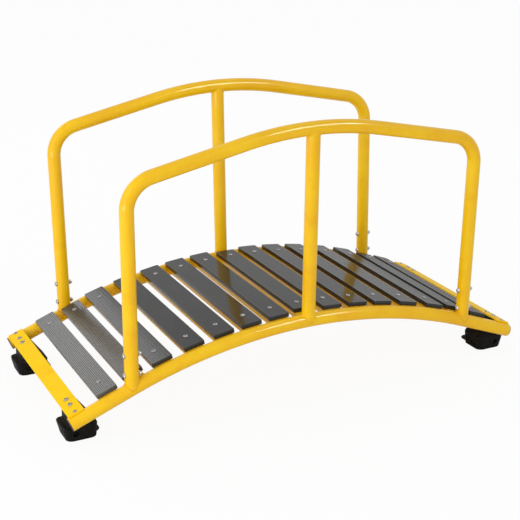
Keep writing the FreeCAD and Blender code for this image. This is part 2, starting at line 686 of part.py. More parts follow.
def plain_nut(label, flats, height, shank):
    """Hexagon nut that hangs below the origin, bored for its bolt."""
    below = "-%s" % height
    bore = cylinder(label + "_bore", shank + " + 2 * nut_clearance", "3 * " + height, "-2 * " + height)
    return less(label, hexagon(label + "_hexagon", flats, height, below), [bore])


def washer(label, diameter, thickness, shank):
    """Washer that hangs below the origin."""
    bore = cylinder(label + "_bore", shank + " + 2 * hole_clearance", "3 * " + thickness, "-2 * " + thickness)
    return less(label, cylinder(label + "_disc", diameter, thickness, "-" + thickness), [bore])


def cap_nut(label):
    """Hexagon with a dome, which stands on the origin and hides the end of its bolt."""
    dome = doc.addObject("Part::Sphere", label + "_dome")
    dome.Angle1 = 0
    bind(dome, Radius="post_nut_dome", Placement=placed(z="post_nut_height"))
    solid = doc.addObject("Part::Fuse", label + "_solid")
    solid.Base = hexagon(label + "_hexagon", "post_nut_flats", "post_nut_height")
    solid.Tool = dome
    bore = cylinder(label + "_bore", "post_bolt_shank + 2 * nut_clearance", "2 * post_nut_height",
                    "-post_nut_height")
    return less(label, solid, [bore])


# Spaces that coped pieces keep clear of

wide = "tube_od + 2 * root_gap"
rail_space = {side: rail_tube("rail_space_" + side, side, wide) for side in SIDES}
hoop_space = {side: hoop_tube("hoop_space_" + side, side, wide) for side in SIDES}
middle_space = {}
for side in SIDES:
    middle_space[side] = doc.addObject("Part::Cylinder", "middle_space_" + side)
    foot_place = in_hoop(side, z=CROWN_RISE)
    bind(middle_space[side], Radius="(%s) / 2" % wide, Height="spigot_short", Placement=foot_place)
both_rails = gathered("rail_spaces", list(rail_space.values()))
both_hoops = gathered("hoop_spaces", list(hoop_space.values()))
both_middles = gathered("middle_spaces", list(middle_space.values()))

# The pieces

plate_screw_spots = [on_deck(PLATE_RUN, sign, "%d * (rail_spacing / 2 - plate_screw_inset)" % side)
                     for side in SIDES.values() for sign in ENDS.values()]
drill = cylinder("plate_screw_drill", "plate_screw_shank + 2 * hole_clearance",
                 "tube_od + 2 * plate_thickness")
screw_spaces = gathered("plate_screw_spaces", copies(drill, plate_screw_spots))

pieces = []
for side in SIDES:
    tube = rail_tube("rail_tube_" + side, side, "tube_od", "tube_od - 2 * tube_wall")
    pieces.append(less("rail_" + side, tube, [screw_spaces]))
    for end in ENDS:
        pieces.append(rail_cap("rail_cap_%s_%s" % (side, end), side, end))

steps = ["slat_pitch", "2 * slat_pitch", "3 * slat_pitch", "3 * slat_pitch + shoulder_pitch",
         "3 * slat_pitch + shoulder_pitch + post_pitch", "4 * slat_pitch + shoulder_pitch + post_pitch",
         "5 * slat_pitch + shoulder_pitch + post_pitch"]
treads = [(step, -1) for step in reversed(steps)] + [("0", 1)] + [(step, 1) for step in steps]
beside_outer_post = (2, 14)
beside_middle_post = (8,)
short_length = "rail_spacing - tube_od - 2 * post_gap"
for count, (run, sign) in enumerate(treads, 1):
    placement = on_deck(run, sign)
    tools = [both_rails]
    if count in beside_outer_post:
        tools.append(both_hoops)
    if count in beside_middle_post:
        tools.append(both_middles)
    pieces.append(crossbar("crossbar_%02d" % count, placement, tools))
    shortened = count in beside_outer_post + beside_middle_post
    pieces.append(slat("slat_%02d" % count, placement, short_length if shortened else "slat_length"))

for end in ENDS:
    pieces.append(end_plate("end_plate_" + end, end, [screw_spaces]))
foot = front_right_foot("foot_front_right")
opposite = reflected("foot_front_left", foot, (1, 0, 0))
pieces += [foot, opposite, reflected("foot_rear_right", foot, (0, 1, 0)),
           reflected("foot_rear_left", opposite, (0, 1, 0))]

for side in SIDES:
    rail, hoop = rail_space[side], hoop_space[side]
    pieces.append(handrail("handrail_" + side, side, [rail]))
    pieces.append(middle_post("middle_post_" + side, side, [rail, hoop]))
    pieces.append(middle_spigot("spigot_%s_middle" % side, side, [rail]))
    for end in ENDS:
        pieces.append(outer_spigot("spigot_%s_%s" % (side, end), side, end, [rail]))

slat_bolt_spots = [on_deck(run, sign, "%d * (rail_spacing / 2 - slat_bolt_inset)" % side)
                   for run, sign in treads for side in SIDES.values()]
slat_grip = "slat_thickness + crossbar_height + slat_nut_height + bolt_end"
slat_bolt = domed_bolt("slat_bolt", "slat_bolt_shank", "slat_bolt_head", "slat_bolt_dome", slat_grip)
slat_nut = plain_nut("slat_nut", "slat_nut_flats", "slat_nut_height", "slat_bolt_shank")
for label, master, z in (("slat_bolts", slat_bolt, "deck_seat + slat_thickness"),
                         ("slat_nuts", slat_nut, "deck_seat - crossbar_height")):
    pieces.append(gathered(label, copies(master, shifted(slat_bolt_spots, z))))

foot_bolt_spots = [on_deck(PLATE_RUN, sign, y) for sign in ENDS.values() for y in foot_bolt_places()]
foot_grip = "plate_thickness + foot_bolt_grip + foot_washer_thickness + foot_nut_height + bolt_end"
foot_bolt = domed_bolt("foot_bolt", "foot_bolt_shank", "foot_bolt_head", "foot_bolt_dome", foot_grip)
foot_nut = plain_nut("foot_nut", "foot_nut_flats", "foot_nut_height", "foot_bolt_shank")
foot_washer = washer("foot_washer", "foot_washer_diameter", "foot_washer_thickness", "foot_bolt_shank")
for label, master, z in (("foot_bolts", foot_bolt, PLATE_SEAT + " + plate_thickness"),
                         ("foot_washers", foot_washer, PLATE_SEAT + " - foot_bolt_grip"),
                         ("foot_nuts", foot_nut, PLATE_SEAT + " - foot_bolt_grip - foot_washer_thickness")):
    pieces.append(gathered(label, copies(master, shifted(foot_bolt_spots, z))))

plate_screw = domed_bolt("plate_screw", "plate_screw_shank", "plate_screw_head", "plate_screw_dome",
                         "plate_screw_length")
screw_places = shifted(plate_screw_spots, PLATE_SEAT + " + plate_thickness")
pieces.append(gathered("plate_screws", copies(plate_screw, screw_places)))

post_grip = "tube_od + post_nut_height"
post_bolt = domed_bolt("post_bolt", "post_bolt_shank", "post_bolt_head", "post_bolt_dome", post_grip)
acorn = cap_nut("post_cap_nut")
post_bolt_spots = [(side, "%d * post_reach" % sign, height) for side in SIDES for sign in ENDS.values()
                   for height in ("post_bolt_low", "post_bolt_high")]
for label, master, shift, turn in (("post_bolts", post_bolt, "-tube_od / 2", "-90"),
                                   ("post_nuts", acorn, "tube_od / 2", "90")):
    spots = ["%s * %s" % (in_hoop(side), placed(x + " + " + shift, z=height, angle=turn))
             for side, x, height in post_bolt_spots]
    pieces.append(gathered(label, copies(master, spots)))

doc.recompute()
failed = [item.Label for item in doc.Objects if {"Invalid", "Error"} & set(item.State)]
failed += [piece.Label for piece in pieces if piece.Shape.isNull() or not piece.Shape.isValid()]
if failed:
    raise RuntimeError("pieces that did not build: " + ", ".join(failed))

os.makedirs("parts", exist_ok=True)
for piece in pieces:
    piece.Shape.exportStep("parts/%s.step" % piece.Label)
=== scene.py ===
import json
from math import asin, atan2, copysign, cos, pi, radians, sin, sqrt, tan

import bmesh
import bpy
from mathutils import Matrix, Vector


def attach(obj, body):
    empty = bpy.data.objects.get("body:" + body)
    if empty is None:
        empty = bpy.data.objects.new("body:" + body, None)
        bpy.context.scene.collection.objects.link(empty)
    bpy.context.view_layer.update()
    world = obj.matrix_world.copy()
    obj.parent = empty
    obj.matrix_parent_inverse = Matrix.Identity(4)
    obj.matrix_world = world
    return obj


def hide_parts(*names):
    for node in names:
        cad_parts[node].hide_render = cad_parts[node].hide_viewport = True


bl_info = {
    "name": "Climbing Arch",
    "version": (1, 0, 0),
    "blender": (4, 5, 0),
    "location": "View3D > Sidebar > Arch",
    "description": "Dresses the packed model of a climbing arch for small children",
    "category": "Object",
}

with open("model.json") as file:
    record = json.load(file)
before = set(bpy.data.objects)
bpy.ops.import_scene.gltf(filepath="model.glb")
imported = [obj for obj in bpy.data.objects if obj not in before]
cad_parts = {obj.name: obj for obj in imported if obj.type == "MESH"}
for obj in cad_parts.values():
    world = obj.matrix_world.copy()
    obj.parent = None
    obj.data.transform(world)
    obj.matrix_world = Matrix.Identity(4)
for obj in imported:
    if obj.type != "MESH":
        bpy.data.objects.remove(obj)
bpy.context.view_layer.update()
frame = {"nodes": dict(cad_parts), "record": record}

SIDES = {"front": -1, "rear": 1}
ENDS = {"left": -1, "right": 1}
SHORT_TREADS = (2, 8, 14)
FULL_TURN = 2 * pi
TUBE_STEPS = 48  # round a tube
RAIL_STEPS = 48  # along a rail's bend
BEND_STEPS = 20  # along a handrail's bend
BOLT_STEPS = 24  # round a bolt
BEAD_STEPS = 10  # round the section of a weld bead
RIPPLES = 48  # along a weld bead
RIPPLE_SHARE = 0.10  # how far a ripple swells the bead
PLATE_BEAD_SHARE = 2.6  # half a plate's weld in radii of its bead
CLOSE = 1e-5  # points nearer than this are taken as level
STREAK_SHIFT = 0.61  # between the wear patterns of two treads

# Head, shank and socket across, dome height and reach below the head, in metres
BOLTS = {
    "tread": {"head": 0.013, "dome": 0.003, "shank": 0.006, "reach": 0.039, "socket": 0.005},
    "foot": {"head": 0.0135, "dome": 0.0042, "shank": 0.008, "reach": 0.0651, "socket": 0.005},
    "plate": {"head": 0.011, "dome": 0.003, "shank": 0.005, "reach": 0.013, "socket": 0.004},
    "post": {"head": 0.015, "dome": 0.005, "shank": 0.008, "reach": 0.043, "socket": 0.0055},
}
CAP_NUT = {"bore": 0.0042, "face": 0.0060, "flats": 0.013, "waist": 0.005, "dome": 0.0055}

# Place, target, width, height and power of each lamp, of which one only makes highlights
LAMPS = {
    "strip": ((1.6, -2.3, 2.9), (0, -0.3, 0.7), 1.7, 0.5, 68),
    "back": ((-1.1, 3.4, 2.2), (-0.5, 0, 0.2), 1.7, 1.5, 11),
    "left": ((-3.3, -0.9, 1.8), (0, 0, 0.3), 1.5, 2.4, 17),
    "low": ((-2.8, -1.2, 0.35), (-0.2, 0, 0.2), 2.0, 0.5, 16),
}
GLOSS_LAMP = "strip"
SKY_LEVEL = 0.77
SKY_SEEN = 1.0  # by the camera
FLOOR_GLOW = 0.93  # share of plain white in what the camera sees of the floor
FLOOR_RADIUS = 60
FLOOR_DROP = 0.0005

# The camera that was solved from the photograph
CAMERA_PLACE = (-1.462, -2.932, 1.501)
CAMERA_TILT = 0.349
CAMERA_TURN = -0.461
CAMERA_LENS = 82.13
CAMERA_SENSOR = 36

# Share of the deep paint in the patches of a plain coat
DEEP_PATCHES = 0.35

# Radians a metre of the pattern on the treads: a rib each 4.8 mm, a cross line each 8 mm
RIB_TURNS = 1320.0
HATCH_TURNS = 785.0


# Sizes and colours

def length(name, value, note):
    return bpy.props.FloatProperty(name=name, description=note, default=value, min=0, unit="LENGTH",
                                   precision=4)


def angle(name, value, note):
    return bpy.props.FloatProperty(name=name, description=note, default=radians(value),
                                   subtype="ANGLE")


def count(name, value, note):
    return bpy.props.IntProperty(name=name, description=note, default=value, min=1)


def colour(name, value, note):
    return bpy.props.FloatVectorProperty(name=name, description=note, default=value, size=3,
                                         min=0, max=1, subtype="COLOR")


class ArchSizes(bpy.types.PropertyGroup):
    tube: length("Tube diameter", 0.038, "Outside diameter of rails, handrails and posts")
    wall: length("Tube wall", 0.002, "Wall of the round tube")
    spacing: length("Rail spacing", 0.572, "Between the centrelines of the two rails")
    deck_radius: length("Deck radius", 1.457, "Bend of the rails")
    deck_slope: angle("Deck slope", 21, "Slope of the rails beyond the bend")
    rail_straight: length("Rail straight", 0.180, "Straight run at each rail end")
    plate_inset: length("Plate inset", 0.026, "From a rail end to the middle of its end plate")
    plate_height: length("Plate height", 0.0913, "Underside of an end plate above the floor")
    plate_width: length("Plate width", 0.046, "Width of an end plate")
    plate_thickness: length("Plate thickness", 0.005, "Thickness of an end plate")
    plate_corner: length("Plate corner", 0.002, "Plan rounding of an end plate's corners")
    plate_edge: length("Plate edge", 0.0008, "Rounding of an end plate's edges")
    plate_overlap: length("Plate overlap", 0.003, "How far a plate reaches past the rail centreline")
    plate_screw_inset: length("Plate screw inset", 0.006, "From the rail centreline to a plate screw")
    gap: length("Weld gap", 0.0002, "Root gap of the welds")
    seat: length("Deck seat", 0.018, "Underside of the treads above the rail centreline")
    tread_length: length("Tread length", 0.554, "Length of a tread beside no post")
    short_tread: length("Short tread", 0.524, "Length of a tread beside a post")
    tread_width: length("Tread width", 0.060, "Width of a tread")
    tread_thickness: length("Tread thickness", 0.012, "Thickness of a tread")
    tread_corner: length("Tread corner", 0.003, "Plan rounding of a tread's corners")
    tread_lip: length("Tread lip", 0.0012, "Rounding of a tread's upper edges")
    pitch: length("Tread pitch", 0.082, "Pitch of most treads")
    shoulder_pitch: length("Shoulder pitch", 0.088, "Pitch next to the treads of the posts")
    post_pitch: length("Post pitch", 0.094, "Pitch of the treads beside the outer posts")
    grooves: count("Grooves", 5, "Grooves along a tread")
    groove_pitch: length("Groove pitch", 0.0095, "Pitch of the grooves")
    groove_width: length("Groove width", 0.0013, "Width of a groove")
    groove_depth: length("Groove depth", 0.0005, "Depth of a groove")
    groove_lip: length("Groove lip", 0.0002, "Rounding of a groove's edges")
    bar_width: length("Crossbar width", 0.050, "Width of the tube under a tread")
    bar_height: length("Crossbar height", 0.020, "Height of the tube under a tread")
    bar_wall: length("Crossbar wall", 0.0015, "Wall of the tube under a tread")
    bar_corner: length("Crossbar corner", 0.003, "Corner radius of the tube under a tread")
    tread_bolt_inset: length("Tread bolt inset", 0.068, "From the rail centreline to a tread bolt")
    cap_reach: length("Cap reach", 0.018, "How far an end cap reaches into its rail")
    cap_slack: length("Cap slack", 0.00025, "Between an end cap and the bore of its rail")
    cap_thickness: length("Cap thickness", 0.002, "Thickness of an end cap outside its rail")
    foot_grain: length("Foot grain", 0.0014, "Cell of the mesh that softens a foot")
    foot_inset: length("Foot inset", 0.064, "From the rail centreline to the middle of a foot's bolts")
    foot_bolt_spacing: length("Foot bolt spacing", 0.032, "Between the two bolts of a foot")
    post_reach: length("Post reach", 0.520, "From the middle of the arch to an outer post")
    splay: angle("Hoop splay", 1.4, "Outward lean of a handrail hoop")
    handrail_rise: length("Handrail rise", 0.5455, "From a rail to its handrail at the middle")
    handrail_radius: length("Handrail radius", 0.970, "Bend of the handrail over the middle")
    handrail_slope: angle("Handrail slope", 11.9, "Slope of the handrail beyond that bend")
    corner: length("Corner radius", 0.085, "Bend between a handrail and its outer post")
    bolt_low: length("Low post bolt", 0.041, "Lower post bolt above the rail centreline")
    bolt_high: length("High post bolt", 0.097, "Upper post bolt above the rail centreline")
    bead: length("Weld bead", 0.0024, "Radius of the weld beads round the posts")


class ArchColours(bpy.types.PropertyGroup):
    paint: colour("Paint", (0.93, 0.51, 0.002), "Golden yellow powder coat")
    # The pale paint also serves as painted light on the end plates.
    paint_pale: colour("Pale paint", (0.99, 0.63, 0.004), "Where the powder coat is thin or rubbed")
    # On the welds of the outer posts and plates the deep paint is painted shade in the joints.
    paint_deep: colour("Deep paint", (0.80, 0.35, 0.002), "Where the powder coat has pooled")
    tread: colour("Tread", (0.0145, 0.0150, 0.0150), "Dark grey tread plastic")
    tread_worn: colour("Worn tread", (0.058, 0.060, 0.058), "Where shoes have rubbed the treads")
    # Painted highlight: pale lines on the ribs of the left treads, standing in for light caught by the
    # rib facets.
    tread_dust: colour("Tread dust", (0.20, 0.205, 0.20), "Pale dust in the ribs of the left treads")
    rubber: colour("Rubber", (0.005, 0.005, 0.005), "Black foot rubber")
    rubber_dusty: colour("Dusty rubber", (0.020, 0.017, 0.014), "Dust on the foot rubber")
    cap: colour("Cap", (0.015, 0.015, 0.017), "Black end cap plastic")
    steel: colour("Steel", (0.62, 0.61, 0.60), "Zinc plated steel")
    steel_dull: colour("Dull steel", (0.50, 0.49, 0.49), "Where the zinc has dulled")
    # The dark steel tones the darker copy of the zinc on the tread and plate fasteners.
    steel_dark: colour("Dark steel", (0.24, 0.21, 0.22), "Where dust has settled on worn zinc")
    floor: colour("Floor", (0.92, 0.92, 0.92), "Studio floor")


def sizes():
    return bpy.context.scene.arch_sizes


def colours():
    return bpy.context.scene.arch_colours


# Where things are

def bend_drop(s):
    return s.deck_radius * (1 - cos(s.deck_slope))


def rail_end(s):
    return s.deck_radius * s.deck_slope + s.rail_straight


def plate_run(s):
    return rail_end(s) - s.plate_inset


def plate_seat(s):
    return s.tube / 2 + s.gap


def rail_crown(s):
    below_bend = (s.rail_straight - s.plate_inset) * sin(s.deck_slope)
    return s.plate_height - plate_seat(s) * cos(s.deck_slope) + bend_drop(s) + below_bend


def on_deck(run, y=0.0, up=0.0):
    """Place on the deck, its X along the rail. Runs are measured along the rail."""
    s = sizes()
    way = 1 if run >= 0 else -1
    turn = min(abs(run) / s.deck_radius, s.deck_slope)
    past = abs(run) - s.deck_radius * turn
    x = s.deck_radius * sin(turn) + past * cos(turn)
    z = rail_crown(s) - s.deck_radius * (1 - cos(turn)) - past * sin(turn)
    lean = Matrix.Rotation(way * turn, 4, "Y")
    return Matrix.Translation((way * x, y, z)) @ lean @ Matrix.Translation((0, 0, up))


def post_drop(s):
    return s.deck_radius - sqrt(s.deck_radius ** 2 - s.post_reach ** 2)


def in_hoop(side, x=0.0, up=0.0):
    """Place in the leaning plane of a hoop, at a height above the foot of its outer posts."""
    s = sizes()
    foot = Matrix.Translation((0, side * s.spacing / 2, rail_crown(s) - post_drop(s)))
    return foot @ Matrix.Rotation(-side * s.splay, 4, "X") @ Matrix.Translation((x, 0, up))


def handrail_height(s):
    return (post_drop(s) + s.handrail_rise) / cos(s.splay)


def tread_runs(s):
    """Where the treads lie along the rail, from the left end to the right."""
    shoulder = 3 * s.pitch + s.shoulder_pitch
    post = s.shoulder_pitch + s.post_pitch
    steps = [s.pitch, 2 * s.pitch, 3 * s.pitch, shoulder, shoulder + s.post_pitch,
             4 * s.pitch + post, 5 * s.pitch + post]
    return [-step for step in reversed(steps)] + [0.0] + steps


# Mesh helpers

def only(kind, geometry):
    return [item for item in geometry if isinstance(item, kind)]


def sweep(bm, ring, moves):
    """Draws a ring along its moves and returns the last ring.

    A move is either (vector,) or (centre, axis, turn, steps).
    """
    for move in moves:
        if len(move) == 1:
            made = bmesh.ops.extrude_edge_only(bm, edges=ring)["geom"]
            bmesh.ops.translate(bm, verts=only(bmesh.types.BMVert, made), vec=move[0])
        else:
            centre, axis, turn, steps = move
            verts = list({v for edge in ring for v in edge.verts})
            made = bmesh.ops.spin(bm, geom=verts + ring, cent=centre, axis=axis, angle=turn,
                                  steps=steps, use_merge=False, use_duplicate=False)["geom_last"]
        fresh = set(only(bmesh.types.BMVert, made))
        ring = [edge for edge in only(bmesh.types.BMEdge, made) if set(edge.verts) <= fresh]
    return ring


def tube(bm, place, outer, wall, moves):
    """A round tube with a bore, drawn from a place along its moves."""
    firsts, lasts = [], []
    for radius in (outer, outer - wall):
        ring = bmesh.ops.create_circle(bm, radius=radius, segments=TUBE_STEPS, matrix=place)["verts"]
        first = list({edge for vert in ring for edge in vert.link_edges})
        firsts += first
        lasts += sweep(bm, first, moves)
    bmesh.ops.bridge_loops(bm, edges=firsts)
    bmesh.ops.bridge_loops(bm, edges=lasts)


def turned(bm, profile, place, steps):
    """A round piece from (radius, height) points, with (radius, height, flats) on a hexagon."""
    before = set(bm.verts)
    verts = [bm.verts.new((point[0], 0, point[1])) for point in profile]
    edges = [bm.edges.new(pair) for pair in zip(verts, verts[1:])]
    bmesh.ops.spin(bm, geom=verts + edges, cent=(0, 0, 0), axis=(0, 0, 1), angle=FULL_TURN,
                   steps=steps, use_merge=True, use_duplicate=False)
    made = [vert for vert in bm.verts if vert not in before]
    hexed = [point for point in profile if len(point) == 3]
    for vert in made:
        radius = sqrt(vert.co.x ** 2 + vert.co.y ** 2)
        for r, z, flats in hexed:
            if abs(radius - r) < 0.1 * CLOSE and abs(vert.co.z - z) < 0.1 * CLOSE:
                turn = atan2(vert.co.y, vert.co.x) % (pi / 3)
                grow = flats / 2 / cos(turn - pi / 6) / radius
                vert.co.x *= grow
                vert.co.y *= grow
                break
    bmesh.ops.remove_doubles(bm, verts=made, dist=0.01 * CLOSE)
    bmesh.ops.transform(bm, matrix=place, verts=[vert for vert in made if vert.is_valid])


def sharp_edges(bm, least=radians(30)):
    return [edge for edge in bm.edges if len(edge.link_faces) == 2 and edge.calc_face_angle() > least]


def round_off(bm, edges, radius, segments):
    bmesh.ops.bevel(bm, geom=edges, offset=radius, offset_type="OFFSET", affect="EDGES",
                    segments=segments, profile=0.5, material=-1, clamp_overlap=True)


def piece(bm, name, material, nodes=(), crease=32):
    """Makes the finished mesh an object that rides on the arch and stands for its CAD nodes."""
    bmesh.ops.remove_doubles(bm, verts=bm.verts, dist=0.1 * CLOSE)
    bmesh.ops.recalc_face_normals(bm, faces=bm.faces)
    mesh = bpy.data.meshes.new(name)
    bm.to_mesh(mesh)
    bm.free()
    mesh.polygons.foreach_set("use_smooth", [True] * len(mesh.polygons))
    mesh.set_sharp_from_angle(angle=radians(crease))
    mesh.materials.append(material)
    obj = bpy.data.objects.new(name, mesh)
    bpy.context.scene.collection.objects.link(obj)
    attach(obj, "root")
    if nodes:
        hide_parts(*nodes)
    return obj


def keep_flats_even(obj):
    """Shades flats as flats, where narrow rounds beside them would bend the light on them."""
    even = obj.modifiers.new("even_flats", "WEIGHTED_NORMAL")
    even.keep_sharp = True


# Material helpers

class Value:
    """A shader value that adds Math nodes when it is used in an expression."""

    def __init__(self, shader, socket):
        self.shader = shader
        self.socket = socket

    def maths(self, operation, *values):
        return self.shader.node("ShaderNodeMath", {"operation": operation}, dict(enumerate(values)))

    def __add__(self, other):
        return self.maths("ADD", self, other)

    def __radd__(self, other):
        return self.maths("ADD", other, self)

    def __sub__(self, other):
        return self.maths("SUBTRACT", self, other)

    def __rsub__(self, other):
        return self.maths("SUBTRACT", other, self)

    def __mul__(self, other):
        return self.maths("MULTIPLY", self, other)

    def __rmul__(self, other):
        return self.maths("MULTIPLY", other, self)

    def __abs__(self):
        return self.maths("ABSOLUTE", self)

    def wave(self):
        return self.maths("SINE", self)

    def between(self, low, high):
        """Runs from 0 at low to 1 at high, and stays within them."""
        return self.shader.node("ShaderNodeMapRange", {"clamp": True},
                                {"Value": self, "From Min": low, "From Max": high})


class Shader:
    """A material that is built from nodes on a Principled BSDF."""

    def __init__(self, name):
        self.material = bpy.data.materials.new(name)
        self.material.use_nodes = True
        self.tree = self.material.node_tree
        self.surface = self.tree.nodes["Principled BSDF"]
        self.places = self.tree.nodes.new("ShaderNodeTexCoord")

    def node(self, kind, settings, inputs, output=0):
        """Adds a node with its settings and inputs, and gives one of its outputs."""
        made = self.tree.nodes.new(kind)
        for name, value in settings.items():
            setattr(made, name, value)
        self.feed(made, inputs)
        return Value(self, made.outputs[output])

    def feed(self, node, inputs):
        for name, value in inputs.items():
            if isinstance(value, Value):
                self.tree.links.new(value.socket, node.inputs[name])
            else:
                node.inputs[name].default_value = value

    def set(self, **inputs):
        """Sets or links inputs of the surface, their names written with underscores."""
        self.feed(self.surface, {name.replace("_", " "): value for name, value in inputs.items()})

    def place(self, kind="Object"):
        return Value(self, self.places.outputs[kind])

    def stretched(self, scale, kind="Object"):
        return self.node("ShaderNodeMapping", {}, {"Vector": self.place(kind), "Scale": scale})

    def noise(self, scale, detail, rough=0.5, where=None):
        return self.node("ShaderNodeTexNoise", {},
                         {"Vector": where or self.place(), "Scale": scale, "Detail": detail,
                          "Roughness": rough})

    def blend(self, factor, low, high):
        """Colour that runs from low to high with the factor."""
        ends = [value if isinstance(value, Value) else (*value, 1) for value in (low, high)]
        return self.node("ShaderNodeMix", {"data_type": "RGBA"}, {0: factor, 6: ends[0], 7: ends[1]}, 2)

    def bump(self, height, distance, strength, under=None):
        """Relief of that distance in metres, over another relief under it."""
        inputs = {"Height": height, "Distance": distance, "Strength": strength}
        if under:
            inputs["Normal"] = under
        return self.node("ShaderNodeBump", {}, inputs)


made_materials = {}


def finish(maker):
    """The material of that maker, made once."""
    if maker.__name__ not in made_materials:
        made_materials[maker.__name__] = maker()
    return made_materials[maker.__name__]


def powder_coat(name="powder_coat", gloss=1.0, deep=DEEP_PATCHES, pale=0.0):
    """Golden yellow powder coat with orange peel, deep and pale patches and a few scuffs."""
    c = colours()
    shader = Shader(name)
    cloudy = shader.noise(7.0, 4.0)
    scuffed = shader.noise(55.0, 5.0, 0.7, shader.stretched((1.0, 2.2, 1.4))).between(0.66, 0.76)
    pooled = shader.noise(21.0, 2.0).between(0.55, 0.85)
    # pale lifts the whole coat towards the pale paint, which on the end plates is painted light.
    base = shader.blend(cloudy.between(0.35, 0.75) + pale, c.paint, c.paint_pale)
    # A large deep share, as on the welds, paints shade in the joints; the plain coat keeps only random
    # deep patches.
    base = shader.blend(pooled * deep + (deep - DEEP_PATCHES), base, c.paint_deep)
    base = shader.blend(scuffed * 0.25, base, c.paint_pale)
    peel = shader.noise(420.0, 2.0)
    sag = shader.noise(60.0, 2.0)
    level = shader.bump(sag, 0.0004, 0.25)
    shader.set(Base_Color=base, Roughness=0.26 + 0.10 * cloudy + 0.22 * scuffed,
               Specular_IOR_Level=0.10 * gloss, Coat_Weight=0.48 * gloss, Coat_Roughness=0.06,
               Normal=shader.bump(peel, 0.00012, 0.5, level))
    return shader.material


def plate_coat_painted_light():
    """Powder coat of the end plates, with less gloss, painted paler as light falling on their tilted
    tops.
    """
    # Painted light: pale=0.7 lightens the plates' coat as if more light fell on them.
    return powder_coat("plate_coat_painted_light", 0.1, pale=0.7)


def weld_coat_painted_shade():
    """Powder coat drawn mostly in the deep colour on the welds of the outer posts and plates, as
    painted shade in those joints.
    """
    return powder_coat("weld_coat_painted_shade", deep=0.9)


def tread_plastic():
    """Glossy dark grey tread with fine ribs and cross lines, worn in streaks.

    The lines are fresh on the treads at both ends, the ribs of the left treads carry painted
    highlights, and the treads grow duller to the right. The UV map runs along a tread and across it.
    """
    c = colours()
    shader = Shader("tread_plastic")
    along = shader.node("ShaderNodeSeparateXYZ", {}, {"Vector": shader.place("UV")})
    across = Value(shader, along.socket.node.outputs["Y"])
    streaks = shader.noise(26.0, 5.0, 0.65, shader.stretched((1.0, 14.0, 1.0), "UV"))
    smears = shader.noise(9.0, 4.0)
    grit = shader.noise(900.0, 2.0)
    run = shader.node("ShaderNodeSeparateXYZ", {}, {"Vector": shader.place()})
    fresh = abs(run).between(0.40, 0.60)
    keen = 0.15 + 4.0 * fresh
    ribs = (across * RIB_TURNS).wave()
    hatch = (along * HATCH_TURNS).wave() * ribs
    worn = smears.between(0.45, 0.8) * 0.25 + streaks.between(0.5, 0.8) * 0.25
    base = shader.blend(worn, c.tread, c.tread_worn)
    # Grit marks real dust; the pale hatch lines, strongest on the end treads, are painted highlights.
    dust = grit.between(0.62, 0.8) * 0.25 + hatch.between(0.1, 0.8) * (0.3 + 0.7 * fresh)
    base = shader.blend(dust, base, c.tread_worn)
    # Painted highlight: pale lines on the ribs of the left treads stand in for light that catches the
    # rib facets.
    entry = (0 - run).between(0.36, 0.60)
    lines = ribs.between(-0.2, 0.8) * entry * (0.5 + 0.6 * streaks)
    base = shader.blend(lines, base, c.tread_dust)
    dull = run.between(0.22, 0.45)
    rough = 0.03 + 0.06 * streaks + 0.03 * grit + 0.08 * fresh + 0.22 * dull
    level = shader.bump((ribs + hatch) * keen, 0.00007, 0.4)
    shader.set(Base_Color=base, Roughness=rough, Specular_IOR_Level=0.38, Coat_Weight=0.08,
               Coat_Roughness=0.05, Normal=shader.bump(grit, 0.00004, 0.2, level))
    return shader.material


def foot_rubber():
    """Black moulded rubber, satin, with dust low down and mould grain."""
    c = colours()
    shader = Shader("foot_rubber")
    height = shader.node("ShaderNodeSeparateXYZ", {}, {"Vector": shader.place()}, 2)
    low = 1 - height.between(0.0, 0.05)
    dust = shader.noise(38.0, 5.0, 0.65)
    grain = shader.noise(1100.0, 2.0)
    base = shader.blend(dust.between(0.45, 0.85) * (0.25 + 0.5 * low), c.rubber, c.rubber_dusty)
    shader.set(Base_Color=base, Roughness=0.40 + 0.25 * dust, Specular_IOR_Level=0.12,
               Normal=shader.bump(grain, 0.00015, 0.5, shader.bump(dust, 0.0006, 0.25)))
    return shader.material


def cap_plastic():
    """Satin black plastic with a fine grain and faint scratches."""
    c = colours()
    shader = Shader("cap_plastic")
    scratches = shader.noise(70.0, 5.0, 0.7, shader.stretched((1.0, 6.0, 1.0))).between(0.58, 0.7)
    grain = shader.noise(1400.0, 1.0)
    base = shader.blend(scratches * 0.5, c.cap, c.rubber_dusty)
    shader.set(Base_Color=base, Roughness=0.38 + 0.2 * scratches,
               Normal=shader.bump(grain, 0.0001, 0.5))
    return shader.material


def plated_steel(name, bright, dull, least):
    """Plated steel with dull clouds and a fine grain, never smoother than least."""
    shader = Shader(name)
    clouds = shader.noise(160.0, 4.0, 0.6)
    grain = shader.noise(2600.0, 2.0)
    base = shader.blend(clouds.between(0.4, 0.75), bright, dull)
    shader.set(Base_Color=base, Metallic=1.0, Roughness=least + 0.22 * clouds,
               Normal=shader.bump(grain, 0.00004, 0.5))
    return shader.material


def zinc_steel():
    """Bright zinc of the bolts in the posts."""
    return plated_steel("zinc_steel", colours().steel, colours().steel_dull, 0.20)


def darker_zinc():
    """A darker copy of the zinc, on the tread and plate fasteners."""
    return plated_steel("darker_zinc", colours().steel_dull, colours().steel_dark, 0.34)


SLOT_FINISH = {"frame_paint": powder_coat, "tread_plastic": tread_plastic, "foot_rubber": foot_rubber,
               "cap_plastic": cap_plastic, "fastener_steel": zinc_steel}


# The pieces

